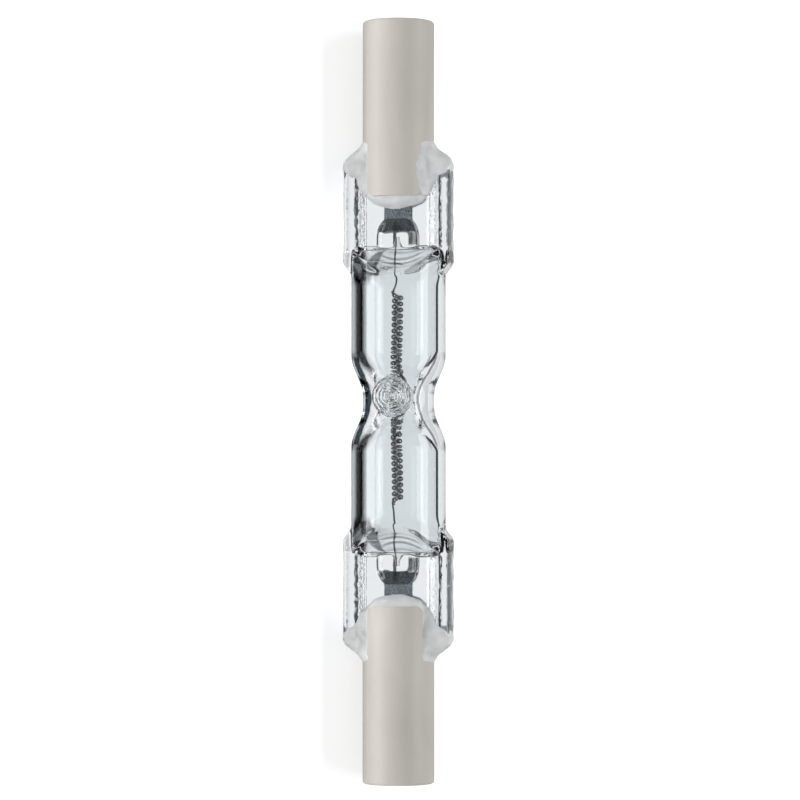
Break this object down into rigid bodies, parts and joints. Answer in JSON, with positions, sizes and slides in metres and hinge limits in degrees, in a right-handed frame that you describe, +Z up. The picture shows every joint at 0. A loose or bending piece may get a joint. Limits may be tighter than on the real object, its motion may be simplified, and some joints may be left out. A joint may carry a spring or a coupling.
{
  "type": "double-ended linear halogen bulb",
  "caption": "Slim quartz tube lamp with a coiled filament, a necked middle with a sealed exhaust tip, flat pressed seals and a round ceramic cap with a recessed contact at each end.",
  "frame": {"origin": "centre of the bottom of the part's box: midway between the cap ends, under the tube's axis, on the surface the lamp lies on", "axes": "+X along the lamp's axis towards cap b, +Z up from the surface it lies on, +Y across; the exhaust tip leans up and towards -Y"},
  "size_m": [0.0782, 0.01, 0.0097],
  "materials": {
    "quartz": "polished",
    "filament": "satin",
    "lead": "satin",
    "foil": "matte",
    "ceramic": "satin",
    "contact": "satin",
    "cement": "matte"
  },
  "bodies": {
    "root": {"quartz_envelope": "quartz", "coiled_filament": "filament", "inner_lead_a": "lead", "inner_lead_b": "lead", "seal_foil_a": "foil", "seal_foil_b": "foil", "outer_lead_a": "lead", "outer_lead_b": "lead", "ceramic_cap_a": "ceramic", "ceramic_cap_b": "ceramic", "end_contact_a": "contact", "end_contact_b": "contact", "cap_cement_a": "cement", "cap_cement_b": "cement"}
  },
  "joints": []
}
